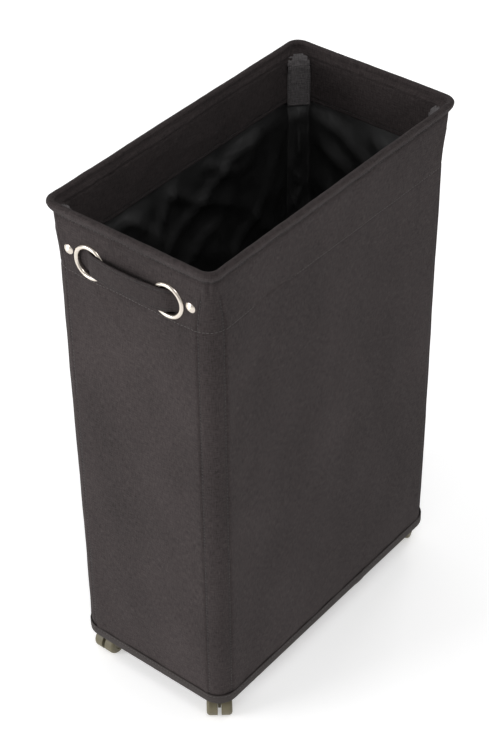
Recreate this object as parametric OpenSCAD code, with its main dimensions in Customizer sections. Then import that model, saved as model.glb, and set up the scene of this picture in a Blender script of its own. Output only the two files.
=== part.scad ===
/* [Bag] */
// Width of the cloth box across its short side
bag_w = 200; // [160:1:240]
// Depth of the cloth box along its long side
bag_d = 384; // [310:1:460]
// Height from the underside of the base to the centre of the rim wire
bag_h = 567; // [460:1:690]
// Outside radius of the four upright corners
corner_r = 22; // [20:1:28]
// Thickness of the outer cloth
cover_t = 1.2; // [0.8:0.1:1.8]
// Thickness of the lining
lining_t = 0.8; // [0.5:0.1:1.4]
// Thickness of the cloth band that faces the inside of the mouth
facing_t = 1; // [0.8:0.1:1.6]
// Depth of that band below the rim wire
facing_h = 70; // [69:1:96]

/* [Rim] */
// Diameter of the spring steel wire in the rim
wire_d = 3.6; // [3:0.1:4]
// Diameter of the cloth hem round the wire
hem_d = 7; // [6.6:0.1:9]
// How far the wire's centre stands outside the cloth
hem_out = 0.5; // [0:0.1:1.5]
// Radius of the rim's corners, to the centre of the wire
rim_r = 12; // [8:1:20]
// Depth of the sewn edge under the hem
skirt_h = 13; // [10:0.5:15]

/* [Corner posts] */
// Diameter of the tubular corner posts
post_d = 7; // [6:0.1:8]
// Wall of the post's tube
post_wall = 0.8; // [0.6:0.1:1.2]
// Thickness of the cloth strip that makes each post's channel
channel_t = 0.8; // [0.5:0.1:1.2]

/* [Corner tabs] */
// Width of the hook and loop tab over each post's pocket
tab_w = 24.5; // [18:0.5:25]
// Length of the tab
tab_h = 47; // [36:1:50]
// Thickness of the tab
tab_t = 1.6; // [1.2:0.1:2.2]
// Thickness of each half of the hook and loop patch
patch_t = 0.8; // [0.6:0.1:1.2]

/* [Handles] */
// Width of the handle strap
strap_w = 26; // [20:0.5:27]
// Thickness of the handle strap
strap_t = 2; // [1.4:0.1:2.6]
// How far the strap's middle stands off the cloth
strap_bow = 5; // [5:0.5:12]
// Distance between an eyelet and the rivet beside it
rivet_off = 27; // [26:0.5:30]
// Outside diameter of an eyelet
eyelet_od = 39; // [36:0.5:44]
// Diameter of the hole through an eyelet
eyelet_id = 29; // [28.5:0.5:31]
// Distance of the eyelets below the rim wire
eyelet_drop = 48; // [40:1:56]
// Distance from a rivet to the seam of the corner beside it
rivet_side = 3; // [2.5:0.5:6]
// Distance of the rivets below the rim wire
rivet_drop = 44; // [38:1:52]

/* [Base] */
// Thickness of the base board
board_t = 4; // [3:0.5:8]
// Thickness of the cloth under the base
bottom_t = 1.2; // [0.8:0.1:1.8]
// Thickness of the binding tape
binding_t = 1; // [0.6:0.1:1.4]
// Height of the binding tape on the outside
binding_h = 12; // [8:0.5:16]

/* [Castors] */
// Diameter of the castor wheels
wheel_d = 24; // [18:0.5:30]
// Height of a castor's plate above the top of its wheels
castor_rise = 9; // [7.5:0.5:14]
// Width of each of the two wheels of a castor
wheel_w = 12; // [9:0.5:13]
// Gap between the two wheels of a castor
wheel_gap = 4; // [4:0.5:7]
// Distance from the swivel axis to the wheel axle
trail = 8; // [6:0.5:9]
// Gap between the corner of a castor's plate and the binding
castor_gap = 0.5; // [0.5:0.1:12]

/* [Hidden] */
$fn = 72;
eps = 0.01;

// Corners in the order front left, front right, back left, back right.
// Front is -Y and right is +X.
CORNERS = [[-1, -1], [1, -1], [-1, 1], [1, 1]];
// Direction in which each castor's wheels trail from their swivel axis
CASTOR_TURN = [-90, -50, 75, 110];

// Clearances
lay_clear = 0.1;      // between layers of cloth that lie on each other
swing_clear = 0.4;    // between faces of bodies that move past each other
run_clear = 0.05;     // round a pin or an axle that turns
press_clear = 0.02;   // round a part that is pressed or screwed in

// Heights
castor_h = wheel_d + castor_rise;
z_base = castor_h;
z_board = z_base + bottom_t;
z_floor = z_board + board_t;
z_rim = z_base + bag_h;
z_cover_top = z_rim - hem_d / 2;
z_skirt = z_rim - skirt_h;
z_facing = z_rim - facing_h;
z_eyelet = z_rim - eyelet_drop;
z_rivet = z_rim - rivet_drop;

// Handle pieces that lie between the outer cloth and the lining
washer_t = 1;
clench_t = 0.4;
layer_gap = washer_t + strap_t + clench_t + 2 * lay_clear;
tail_in = cover_t + washer_t + lay_clear;

// Distances from the centre of a corner's round to the pieces along its diagonal
lining_in = cover_t + layer_gap;
post_c = corner_r - cover_t - lay_clear - post_d / 2;
channel_c = post_c - post_d / 2 - lay_clear;
chamfer_c = channel_c - channel_t;
facing_c = chamfer_c - facing_t;
loop_c = facing_c - patch_t;
hook_c = loop_c - swing_clear - patch_t;
tab_c = hook_c - tab_t;
tab_top = z_skirt - 5;
root_h = 5;
root_w = min(tab_w, 2 * ((corner_r - lining_in - facing_t) * sqrt(2) - facing_c - lay_clear));
patch_w = tab_w - 5;
patch_h = 22;
patch_up = 4;
plug_head = 3;
plug_stem = 10;

// Rim
wire_clear = 0.15;
ferrule_t = 0.9;
ferrule_l = 24;

// Handles
barrel_t = 0.8;
eyelet_dome = (eyelet_od - eyelet_id) / 4;
washer_od = eyelet_od - 1;
rivet_r = 5.8;
rivet_dome = 2;
shank_r = 2;
clench_r = 4;
tail_over = 7;
grip_end_out = 1.5;
bridge_w = 3;
rivet_gap = bag_w - 2 * (corner_r + rivet_side);
eyelet_gap = rivet_gap - 2 * rivet_off;
grip_half = eyelet_gap / 2 - 1;
grip_rise = strap_bow - grip_end_out;
grip_r = (pow(grip_half, 2) + pow(grip_rise, 2)) / (2 * grip_rise);

// Castors
plate_w = 30;
plate_t = 1.6;
plate_round = 7;
screw_at = 10.5;
screw_r = 1.5;
screw_head_r = 2.8;
screw_head_t = 1.4;
screw_l = plate_t + bottom_t + board_t - 1;
kingpin_r = 2.5;
boss_r = 6.5;
axle_r = 1.5;
axle_z = wheel_d / 2;
well_r = wheel_d / 2 + 0.8;
hood_t = 1.6;
hood_over = 4;
hub_r = 4;
wheel_round = 4;
z_plate = z_base - plate_t;
z_kingpin = axle_z + sqrt(pow(well_r, 2) - pow(trail - kingpin_r, 2)) + 1;

// Binding
binding_under = 6;

// Distance of each swivel axis from both faces of the bag
castor_at = corner_r + plate_w / 2 - plate_round
    - (corner_r - binding_under - castor_gap - plate_round) / sqrt(2);

module round_rect(w, d, r) {
    square([w - 2 * r, d], center = true);
    square([w, d - 2 * r], center = true);
    for (c = CORNERS) translate([c[0] * (w / 2 - r), c[1] * (d / 2 - r)]) circle(r);
}

// Outline of the cloth box, moved in from its outer face
module bag_outline(inset) {
    round_rect(bag_w - 2 * inset, bag_d - 2 * inset, corner_r - inset);
}

// Outline of the lining or the facing, cut straight across in front of each post
module lining_outline(inset) {
    x = bag_w / 2 - inset;
    y = bag_d / 2 - inset;
    cut = 2 * (corner_r - inset) - (chamfer_c - (inset - lining_in)) * sqrt(2);
    polygon([[x - cut, -y], [x, -y + cut], [x, y - cut], [x - cut, y],
        [-x + cut, y], [-x, y - cut], [-x, -y + cut], [-x + cut, -y]]);
}

// Children are placed with X along the corner's diagonal, outwards
module at_corner(c) {
    translate([c[0] * (bag_w / 2 - corner_r), c[1] * (bag_d / 2 - corner_r), 0])
        rotate([0, 0, atan2(c[1], c[0])]) children();
}

// Children are placed with Y pointing out of the front (-1) or the back (1)
module at_end(side) {
    rotate([0, 0, side < 0 ? 180 : 0]) translate([0, bag_d / 2, 0]) children();
}

module at_castor(i) {
    c = CORNERS[i];
    translate([c[0] * (bag_w / 2 - castor_at), c[1] * (bag_d / 2 - castor_at), 0])
        rotate([0, 0, CASTOR_TURN[i]]) children();
}

module cover_ring() {
    difference() {
        bag_outline(0);
        bag_outline(cover_t);
    }
}

module cover_piece() {
    color([0.28, 0.26, 0.26]) translate([0, 0, z_base]) linear_extrude(z_cover_top - z_base)
        intersection() {
            cover_ring();
            children();
        }
}

module cover_front_with_holes(side) {
    difference() {
        cover_piece() translate([0, side * bag_d / 2])
            square([bag_w - 2 * corner_r, 2 * corner_r], center = true);
        at_end(side) {
            for (x = [-1, 1]) {
                translate([x * eyelet_gap / 2, eps, z_eyelet])
                    rotate([90, 0, 0]) cylinder(r = eyelet_id / 2 + barrel_t, h = cover_t + 2 * eps);
                translate([x * rivet_gap / 2, eps, z_rivet])
                    rotate([90, 0, 0]) cylinder(r = shank_r, h = cover_t + 2 * eps);
            }
        }
    }
}

module cover_long_wall(side) {
    cover_piece() translate([side * bag_w / 2, 0])
        square([2 * corner_r, bag_d - 2 * corner_r], center = true);
}

module cover_corner(i) {
    c = CORNERS[i];
    cover_piece() translate([c[0] * bag_w / 2, c[1] * bag_d / 2])
        square(2 * corner_r, center = true);
}

// A round bar bent to the rim's outline; hollow is the radius of its bore, if it has one
module rim_bar(r, hollow = 0) {
    x = bag_w / 2 + hem_out - rim_r;
    y = bag_d / 2 + hem_out - rim_r;
    for (c = CORNERS)
        translate([c[0] * x, c[1] * y, z_rim]) rotate([0, 0, atan2(c[1], c[0]) - 45])
            rotate_extrude(angle = 90) translate([rim_r, 0]) rim_section(r, hollow);
    for (s = [-1, 1]) {
        translate([s * (x + rim_r), -y, z_rim]) rotate([-90, 0, 0])
            linear_extrude(2 * y) rim_section(r, hollow);
        translate([-x, s * (y + rim_r), z_rim]) rotate([0, 90, 0])
            linear_extrude(2 * x) rim_section(r, hollow);
    }
}

module rim_section(r, hollow) {
    difference() {
        circle(r);
        if (hollow > 0) circle(hollow);
    }
}

module rim_hem() {
    color([0.3, 0.28, 0.28]) difference() {
        rim_bar(hem_d / 2, wire_d / 2 + wire_clear);
        ferrule_space(ferrule_t + wire_clear, ferrule_l + 2 * wire_clear);
    }
}

// The hem's raw edges, sewn flat between the outer cloth and the facing
module hem_allowance() {
    color([0.3, 0.28, 0.28]) translate([0, 0, z_skirt]) linear_extrude(z_cover_top - z_skirt)
        difference() {
            bag_outline(cover_t);
            bag_outline(lining_in);
            lining_outline(lining_in);
        }
}

module ferrule_space(t, l) {
    translate([-l / 2, bag_d / 2 + hem_out, z_rim]) rotate([0, 90, 0])
        cylinder(r = wire_d / 2 + t, h = l);
}

module rim_wire() {
    color("silver") rim_bar(wire_d / 2);
}

module rim_ferrule() {
    color("gray") difference() {
        ferrule_space(ferrule_t, ferrule_l);
        ferrule_space(press_clear, ferrule_l + 2 * eps);
    }
}

module mouth_facing() {
    color([0.2, 0.19, 0.19]) translate([0, 0, z_facing]) linear_extrude(z_cover_top - z_facing)
        difference() {
            lining_outline(lining_in);
            lining_outline(lining_in + facing_t);
        }
}

module lining_walls() {
    color([0.1, 0.1, 0.1]) translate([0, 0, z_floor]) linear_extrude(z_facing - z_floor)
        difference() {
            lining_outline(lining_in);
            lining_outline(lining_in + lining_t);
        }
}

module lining_floor() {
    color([0.1, 0.1, 0.1]) translate([0, 0, z_floor]) linear_extrude(lining_t)
        lining_outline(lining_in + lining_t);
}

module post(i) {
    color("silver") at_corner(CORNERS[i]) translate([post_c, 0, z_floor + plug_head])
        difference() {
            cylinder(d = post_d, h = z_skirt - z_floor - 2 * plug_head);
            translate([0, 0, -eps])
                cylinder(d = post_d - 2 * post_wall, h = z_skirt - z_floor - 2 * plug_head + 2 * eps);
        }
}

module post_plug() {
    cylinder(d = post_d, h = plug_head);
    translate([0, 0, plug_head - eps])
        cylinder(r = post_d / 2 - post_wall - press_clear, h = plug_stem + eps);
}

module post_plugs() {
    color([0.15, 0.15, 0.15]) for (c = CORNERS) at_corner(c) {
        translate([post_c, 0, z_floor]) post_plug();
        translate([post_c, 0, z_skirt]) mirror([0, 0, 1]) post_plug();
    }
}

module post_channels() {
    color([0.1, 0.1, 0.1]) translate([0, 0, z_floor]) linear_extrude(z_facing - z_floor)
        intersection() {
            bag_outline(cover_t);
            for (c = CORNERS)
                translate([c[0] * (bag_w / 2 - corner_r), c[1] * (bag_d / 2 - corner_r)])
                    rotate([0, 0, atan2(c[1], c[0])])
                        translate([chamfer_c, -2 * corner_r])
                            square([channel_t, 4 * corner_r]);
        }
}

module tab(i) {
    color([0.22, 0.21, 0.21]) at_corner(CORNERS[i])
        translate([tab_c, -tab_w / 2, tab_top - tab_h]) cube([tab_t, tab_w, tab_h]);
}

module hook_patch(i) {
    color([0.08, 0.08, 0.08]) at_corner(CORNERS[i])
        translate([hook_c, -patch_w / 2, tab_top - tab_h + patch_up])
            cube([patch_t, patch_w, patch_h]);
}

module loop_patches() {
    color([0.08, 0.08, 0.08]) for (c = CORNERS) at_corner(c)
        translate([loop_c, -patch_w / 2, tab_top - tab_h + patch_up])
            cube([patch_t, patch_w, patch_h]);
}

module tab_roots() {
    color([0.22, 0.21, 0.21]) for (c = CORNERS) at_corner(c)
        translate([tab_c, -root_w / 2, tab_top + swing_clear])
            cube([facing_c - tab_c, root_w, root_h]);
}

module castor_screw_holes(r, z, h) {
    for (i = [0 : 3]) {
        c = CORNERS[i];
        translate([c[0] * (bag_w / 2 - castor_at), c[1] * (bag_d / 2 - castor_at), z])
            for (s = CORNERS) translate([s[0] * screw_at, s[1] * screw_at, 0])
                cylinder(r = r, h = h);
    }
}

module bottom_cloth() {
    color([0.2, 0.19, 0.19]) difference() {
        translate([0, 0, z_base]) linear_extrude(bottom_t) bag_outline(cover_t);
        castor_screw_holes(screw_r + press_clear, z_base - eps, bottom_t + 2 * eps);
    }
}

module base_board() {
    color("peru") difference() {
        translate([0, 0, z_board]) linear_extrude(board_t) bag_outline(cover_t + lay_clear);
        castor_screw_holes(screw_r + press_clear, z_board - eps, board_t + 2 * eps);
    }
}

module binding_tape() {
    color([0.2, 0.19, 0.19]) {
        translate([0, 0, z_base - binding_t]) linear_extrude(binding_h) difference() {
            bag_outline(-binding_t);
            bag_outline(0);
        }
        translate([0, 0, z_base - binding_t]) linear_extrude(binding_t) difference() {
            bag_outline(0);
            bag_outline(binding_under);
        }
    }
}

// The strap's outer run, an arc that stands off the cloth between the eyelets
module handle_grip(side) {
    half_angle = asin(grip_half / grip_r);
    reach = 2 * grip_r;
    color([0.27, 0.25, 0.25]) at_end(side)
        translate([0, strap_bow - grip_r, z_eyelet - strap_w / 2]) linear_extrude(strap_w)
            intersection() {
                difference() {
                    circle(grip_r + strap_t, $fn = 180);
                    circle(grip_r, $fn = 180);
                }
                polygon([[0, 0], [reach * sin(half_angle), reach * cos(half_angle)],
                    [-reach * sin(half_angle), reach * cos(half_angle)]]);
            }
}

// The strap's two ends, through the eyelets and along the back of the cloth to the rivets
module handle_tails(side) {
    color([0.27, 0.25, 0.25]) at_end(side) for (s = [0, 1]) mirror([s, 0, 0])
        difference() {
            union() {
                translate([eyelet_gap / 2, -tail_in - strap_t, z_eyelet - strap_w / 2])
                    cube([(rivet_gap - eyelet_gap) / 2 + tail_over, strap_t, strap_w]);
                translate([eyelet_gap / 2, -tail_in - strap_t, z_eyelet - strap_w / 2])
                    cube([bridge_w, tail_in + strap_t + grip_end_out - swing_clear, strap_w]);
            }
            translate([rivet_gap / 2, -tail_in + eps, z_rivet])
                rotate([90, 0, 0]) cylinder(r = shank_r, h = strap_t + 2 * eps);
        }
}

module each_eyelet() {
    for (side = [-1, 1]) at_end(side) for (x = [-1, 1])
        translate([x * eyelet_gap / 2, 0, z_eyelet]) rotate([-90, 0, 0]) children();
}

module eyelets() {
    color("silver") each_eyelet() {
        rotate_extrude() intersection() {
            translate([(eyelet_od + eyelet_id) / 4, 0]) circle(eyelet_dome);
            square([eyelet_od, eyelet_dome]);
        }
        translate([0, 0, -cover_t]) difference() {
            cylinder(r = eyelet_id / 2 + barrel_t, h = cover_t + eps);
            translate([0, 0, -eps]) cylinder(r = eyelet_id / 2, h = cover_t + 3 * eps);
        }
    }
}

module eyelet_washers() {
    color("silver") each_eyelet() translate([0, 0, -cover_t - washer_t]) difference() {
        cylinder(d = washer_od, h = washer_t);
        translate([0, 0, -eps]) cylinder(r = eyelet_id / 2 + barrel_t, h = washer_t + 2 * eps);
    }
}

module rivets() {
    ball_r = (pow(rivet_r, 2) + pow(rivet_dome, 2)) / (2 * rivet_dome);
    shank_l = tail_in + strap_t;
    color("silver") for (side = [-1, 1]) at_end(side) for (x = [-1, 1])
        translate([x * rivet_gap / 2, 0, z_rivet]) rotate([-90, 0, 0]) {
            intersection() {
                translate([0, 0, rivet_dome - ball_r]) sphere(ball_r);
                cylinder(r = rivet_r + eps, h = rivet_dome);
            }
            translate([0, 0, -shank_l]) cylinder(r = shank_r, h = shank_l + eps);
            translate([0, 0, -shank_l - clench_t]) cylinder(r = clench_r, h = clench_t);
        }
}

module castor_plates() {
    color("silver") for (c = CORNERS)
        translate([c[0] * (bag_w / 2 - castor_at), c[1] * (bag_d / 2 - castor_at), z_plate])
            difference() {
                linear_extrude(plate_t) round_rect(plate_w, plate_w, plate_round);
                translate([0, 0, -eps]) cylinder(r = kingpin_r + press_clear, h = plate_t + 2 * eps);
                for (s = CORNERS) translate([s[0] * screw_at, s[1] * screw_at, -eps])
                    cylinder(r = screw_r + press_clear, h = plate_t + 2 * eps);
            }
}

module castor_kingpins() {
    color("gray") for (i = [0 : 3]) at_castor(i)
        translate([0, 0, z_kingpin]) cylinder(r = kingpin_r, h = z_base - z_kingpin);
}

module castor_screws() {
    color("silver") for (c = CORNERS)
        translate([c[0] * (bag_w / 2 - castor_at), c[1] * (bag_d / 2 - castor_at), z_plate])
            for (s = CORNERS) translate([s[0] * screw_at, s[1] * screw_at, 0]) {
                translate([0, 0, -eps]) cylinder(r = screw_r, h = screw_l + eps);
                translate([0, 0, -screw_head_t]) cylinder(r = screw_head_r, h = screw_head_t);
            }
}

// Children are drawn in a side view, X back from the axle and Y up, and made l thick
module castor_side(l) {
    translate([trail, l / 2, axle_z]) rotate([90, 0, 0]) linear_extrude(l) children();
}

module castor_hood(i) {
    pair_w = 2 * wheel_w + wheel_gap;
    fin_t = wheel_gap - 2 * swing_clear;
    color([0.36, 0.34, 0.27]) at_castor(i) difference() {
        union() {
            difference() {
                translate([0, 0, axle_z])
                    cylinder(r = boss_r, h = z_plate - swing_clear - axle_z);
                castor_side(pair_w) circle(well_r);
            }
            castor_side(pair_w - 1) intersection() {
                difference() {
                    circle(well_r + hood_t);
                    circle(well_r);
                }
                translate([-wheel_d, 0]) square([wheel_d + hood_over, wheel_d]);
            }
            castor_side(fin_t) {
                circle(hub_r);
                intersection() {
                    circle(well_r + hood_t / 2);
                    translate([-wheel_d, 0]) square([wheel_d + hood_over, wheel_d]);
                }
            }
        }
        translate([0, 0, z_kingpin - run_clear])
            cylinder(r = kingpin_r + run_clear, h = castor_h);
        castor_side(pair_w) circle(axle_r + run_clear);
    }
}

module castor_axle(i) {
    color("silver") at_castor(i)
        castor_side(2 * wheel_w + wheel_gap - 2) circle(axle_r);
}

module castor_wheel_profile() {
    difference() {
        union() {
            square([wheel_d / 2 - wheel_round, wheel_w]);
            square([wheel_d / 2, wheel_w - wheel_round]);
            translate([wheel_d / 2 - wheel_round, wheel_w - wheel_round]) circle(wheel_round);
        }
        square([axle_r + press_clear, wheel_w]);
        translate([hub_r, wheel_w - 0.8]) square([1, 1]);
    }
}

module castor_wheels(i) {
    color([0.42, 0.39, 0.3]) at_castor(i) translate([trail, 0, axle_z]) for (s = [-1, 1])
        rotate([-90 * s, 0, 0]) translate([0, 0, wheel_gap / 2])
            rotate_extrude() castor_wheel_profile();
}

cover_front_with_holes(-1);  // cover_front
cover_front_with_holes(1);  // cover_back
cover_long_wall(-1);  // cover_left
cover_long_wall(1);  // cover_right
cover_corner(0);  // cover_corner_front_left
cover_corner(1);  // cover_corner_front_right
cover_corner(2);  // cover_corner_back_left
cover_corner(3);  // cover_corner_back_right
rim_hem();
hem_allowance();
rim_wire();
rim_ferrule();
mouth_facing();
lining_walls();
lining_floor();
post(0);  // post_front_left
post(1);  // post_front_right
post(2);  // post_back_left
post(3);  // post_back_right
post_plugs();
post_channels();
tab(0);  // tab_front_left
tab(1);  // tab_front_right
tab(2);  // tab_back_left
tab(3);  // tab_back_right
hook_patch(0);  // hook_patch_front_left
hook_patch(1);  // hook_patch_front_right
hook_patch(2);  // hook_patch_back_left
hook_patch(3);  // hook_patch_back_right
loop_patches();
tab_roots();
bottom_cloth();
base_board();
binding_tape();
handle_grip(-1);  // handle_grip_front
handle_grip(1);  // handle_grip_back
handle_tails(-1);  // handle_tails_front
handle_tails(1);  // handle_tails_back
eyelets();
eyelet_washers();
rivets();
castor_plates();
castor_kingpins();
castor_screws();
castor_hood(0);  // castor_hood_front_left
castor_hood(1);  // castor_hood_front_right
castor_hood(2);  // castor_hood_back_left
castor_hood(3);  // castor_hood_back_right
castor_axle(0);  // castor_axle_front_left
castor_axle(1);  // castor_axle_front_right
castor_axle(2);  // castor_axle_back_left
castor_axle(3);  // castor_axle_back_right
castor_wheels(0);  // castor_wheels_front_left
castor_wheels(1);  // castor_wheels_front_right
castor_wheels(2);  // castor_wheels_back_left
castor_wheels(3);  // castor_wheels_back_right
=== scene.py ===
# %% [markdown]
# # A slim laundry bin in sewn cloth
# The bin is a tall cloth bag on a stiff base with four small castors. The hard parts (rim wire, posts,
# eyelets, rivets, castors) come ready from the engineering model, in metres, and they stay where they
# are. This script sews the soft parts round them: the outer cloth, the lining, the binding, the corner
# tabs and the two strap handles. Every place is read from the model's own boxes, so the cloth always
# meets the metal.

# %% Load the fixed parts
import math

import bmesh
import bpy
from mathutils import Matrix, Vector, noise


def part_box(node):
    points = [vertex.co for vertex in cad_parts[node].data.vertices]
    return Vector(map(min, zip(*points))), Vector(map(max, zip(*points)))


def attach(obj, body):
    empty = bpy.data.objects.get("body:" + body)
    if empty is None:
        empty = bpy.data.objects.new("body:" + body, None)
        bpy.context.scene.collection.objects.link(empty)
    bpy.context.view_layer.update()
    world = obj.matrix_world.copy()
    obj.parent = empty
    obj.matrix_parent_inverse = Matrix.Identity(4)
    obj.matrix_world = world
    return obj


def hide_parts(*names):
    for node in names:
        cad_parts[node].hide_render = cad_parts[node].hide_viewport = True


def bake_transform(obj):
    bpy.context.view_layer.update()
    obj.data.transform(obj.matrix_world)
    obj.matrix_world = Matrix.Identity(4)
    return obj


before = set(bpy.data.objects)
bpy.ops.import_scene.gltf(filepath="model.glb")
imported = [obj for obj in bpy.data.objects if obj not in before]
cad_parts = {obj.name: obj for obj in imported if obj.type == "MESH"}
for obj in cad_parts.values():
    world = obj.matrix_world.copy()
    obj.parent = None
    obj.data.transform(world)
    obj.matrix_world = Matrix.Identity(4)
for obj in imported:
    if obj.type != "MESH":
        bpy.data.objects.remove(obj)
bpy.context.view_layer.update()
MM = 0.001

half_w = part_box("cover_right")[1][0]
half_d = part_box("cover_back")[1][1]
corner_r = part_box("cover_corner_back_right")[1][0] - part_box("cover_corner_back_right")[0][0]
z_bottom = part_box("binding_tape")[0][2]
z_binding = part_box("binding_tape")[1][2]
z_rim = (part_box("rim_wire")[0][2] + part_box("rim_wire")[1][2]) / 2
hem_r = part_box("rim_hem")[1][2] - z_rim
hem_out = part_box("rim_hem")[1][0] - hem_r - half_w
z_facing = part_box("mouth_facing")[0][2]
z_inner_edge = z_facing + 10 * MM
lining_in = half_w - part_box("lining_walls")[1][0]
z_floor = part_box("lining_floor")[1][2]
print("cloth box", round(2 * half_w, 3), "x", round(2 * half_d, 3), "m, rim at", round(z_rim, 3), "m")

# %% [markdown]
# ## Camera
# The bin is seen from above one corner, so that both a short side with its handle and a long side show,
# and one can look into the mouth. A long lens keeps the upright edges nearly parallel. The camera is
# placed by an azimuth, an elevation and a distance from a target, as one walks round an object and bends
# down or steps back.

# %% Camera
AZIMUTH, ELEVATION, ROLL = 39.3, 38.8, -0.8
DISTANCE = 2.046
LENS_MM = 93.2
target = Vector((-0.006, -0.017, z_bottom + 0.295))
az, el = math.radians(AZIMUTH), math.radians(ELEVATION)
back = Vector((math.sin(az) * math.cos(el), -math.cos(az) * math.cos(el), math.sin(el)))
camera = bpy.data.objects.new("camera", bpy.data.cameras.new("camera"))
camera.data.lens = LENS_MM
camera.data.sensor_width = 36
camera.data.clip_end = 50
turn = back.to_track_quat("Z", "Y").to_matrix().to_4x4() @ Matrix.Rotation(math.radians(ROLL), 4, "Z")
camera.matrix_world = Matrix.Translation(target + back * DISTANCE) @ turn
bpy.context.scene.collection.objects.link(camera)
bpy.context.scene.camera = camera
print("camera at", [round(v, 3) for v in camera.location])

# %% [markdown]
# ## Studio
# Dark cloth needs broad, soft light, because a small lamp would give hard sparkle on the weave. The
# paper floor glows a little, as a lit white sweep does, so the outside of the bag gets light from below
# and the mouth stays dark. One large panel stands in front and to the left, which makes the short side
# lighter than the long side. A small one above lights the mouth, and one behind lights the back.

# %% Studio light and floor
world = bpy.data.worlds.new("studio")
bpy.context.scene.world = world
world.use_nodes = True
world.node_tree.nodes["Background"].inputs["Color"].default_value = (1.0, 1.0, 1.0, 1)
world.node_tree.nodes["Background"].inputs["Strength"].default_value = 0.55
bpy.context.scene.view_settings.view_transform = "Standard"


def panel_light(name, place, aim, size, power):
    """A square soft box that looks at a point."""
    lamp = bpy.data.lights.new(name, "AREA")
    lamp.size = size
    lamp.energy = power
    obj = bpy.data.objects.new(name, lamp)
    look = (Vector(place) - Vector(aim)).to_track_quat("Z", "Y").to_matrix().to_4x4()
    obj.matrix_world = Matrix.Translation(Vector(place)) @ look
    bpy.context.scene.collection.objects.link(obj)


middle = (0, 0, z_rim / 2)
panel_light("key_panel", (-1.4, -2.3, 0.9), middle, 1.2, 38)
panel_light("mouth_panel", (0.9, -0.7, 2.3), (0, 0.1, z_rim), 0.7, 7)
panel_light("back_panel", (-0.6, 2.2, 1.6), middle, 0.8, 8)

bm = bmesh.new()
bmesh.ops.create_grid(bm, x_segments=2, y_segments=2, size=6)
floor_mesh = bpy.data.meshes.new("floor")
bm.to_mesh(floor_mesh)
bm.free()
floor = bpy.data.objects.new("floor", floor_mesh)
bpy.context.scene.collection.objects.link(floor)
paper = bpy.data.materials.new("floor_paper")
paper.use_nodes = True
sheet_shader = paper.node_tree.nodes["Principled BSDF"]
sheet_shader.inputs["Base Color"].default_value = (0.93, 0.93, 0.93, 1)
sheet_shader.inputs["Roughness"].default_value = 0.9
sheet_shader.inputs["Emission Color"].default_value = (1, 1, 1, 1)
sheet_shader.inputs["Emission Strength"].default_value = 0.42
floor_mesh.materials.append(paper)
print("three panels over a paper floor")

# %% [markdown]
# ## Node helpers
# Each finish below is a small network of shader nodes. A few helpers keep the networks readable: one
# adds a node and wires its inputs, one adds a step of arithmetic, and the others are built from these.

# %% Shader node helpers


def add(tree, kind, inputs=None, **settings):
    """Adds a node. Inputs may be numbers, colours or the output socket of another node."""
    n = tree.nodes.new(kind)
    for name, value in settings.items():
        setattr(n, name, value)
    for socket, value in (inputs or {}).items():
        if isinstance(value, bpy.types.NodeSocket):
            tree.links.new(value, n.inputs[socket])
        else:
            n.inputs[socket].default_value = value
    return n


def calc(tree, operation, a, b=0.0):
    return add(tree, "ShaderNodeMath", {0: a, 1: b}, operation=operation).outputs[0]


def scaled(tree, value, gain, offset):
    """value * gain + offset, where value and offset may be numbers or sockets."""
    return calc(tree, "ADD", calc(tree, "MULTIPLY", value, gain), offset)


def wave_of(tree, distance, half_wave):
    """A sine wave over a distance, which crosses zero after each half_wave."""
    return calc(tree, "SINE", calc(tree, "MULTIPLY", distance, math.pi / half_wave))


def finish_named(name, **constants):
    """A new finish with its shader's constants set on the shader itself."""
    material = bpy.data.materials.new(name)
    material.use_nodes = True
    shader = material.node_tree.nodes["Principled BSDF"]
    for socket, value in constants.items():
        shader.inputs[socket.replace("_", " ")].default_value = value
    return material, material.node_tree, shader


def cloth_coordinates(tree, uv):
    if uv:
        return add(tree, "ShaderNodeUVMap", uv_map="cloth").outputs["UV"]
    return add(tree, "ShaderNodeTexCoord").outputs["Object"]


def stretched_noise(tree, coordinates, scale, detail=2.0):
    """Noise between 0 and 1 whose grains are 1/scale long on each axis."""
    placed = add(tree, "ShaderNodeMapping", {"Vector": coordinates, "Scale": scale}).outputs[0]
    return add(tree, "ShaderNodeTexNoise", {"Vector": placed, "Scale": 1.0, "Detail": detail}).outputs[0]


def shade(tree, shader, color, factor):
    """Colour times a factor that varies over the cloth."""
    tinted = add(tree, "ShaderNodeHueSaturation", {"Color": (*color, 1), "Value": factor})
    tree.links.new(tinted.outputs[0], shader.inputs["Base Color"])


def press(tree, shader, height, depth, strength=1.0):
    bumped = add(tree, "ShaderNodeBump", {"Height": height, "Distance": depth, "Strength": strength})
    tree.links.new(bumped.outputs[0], shader.inputs["Normal"])


# %% [markdown]
# ## Woven cloth
# A plain weave is a chequer of tiny bumps, where the lengthwise threads lie on top in one square and the
# crosswise threads in the next. The product of two sine waves gives exactly that chequer. Real yarn is
# thick and thin by turns, so two stretched noises, one along each thread, shade the squares, and a large
# soft noise adds the uneven dye that one sees from a distance.

# %% Woven finish


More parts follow.
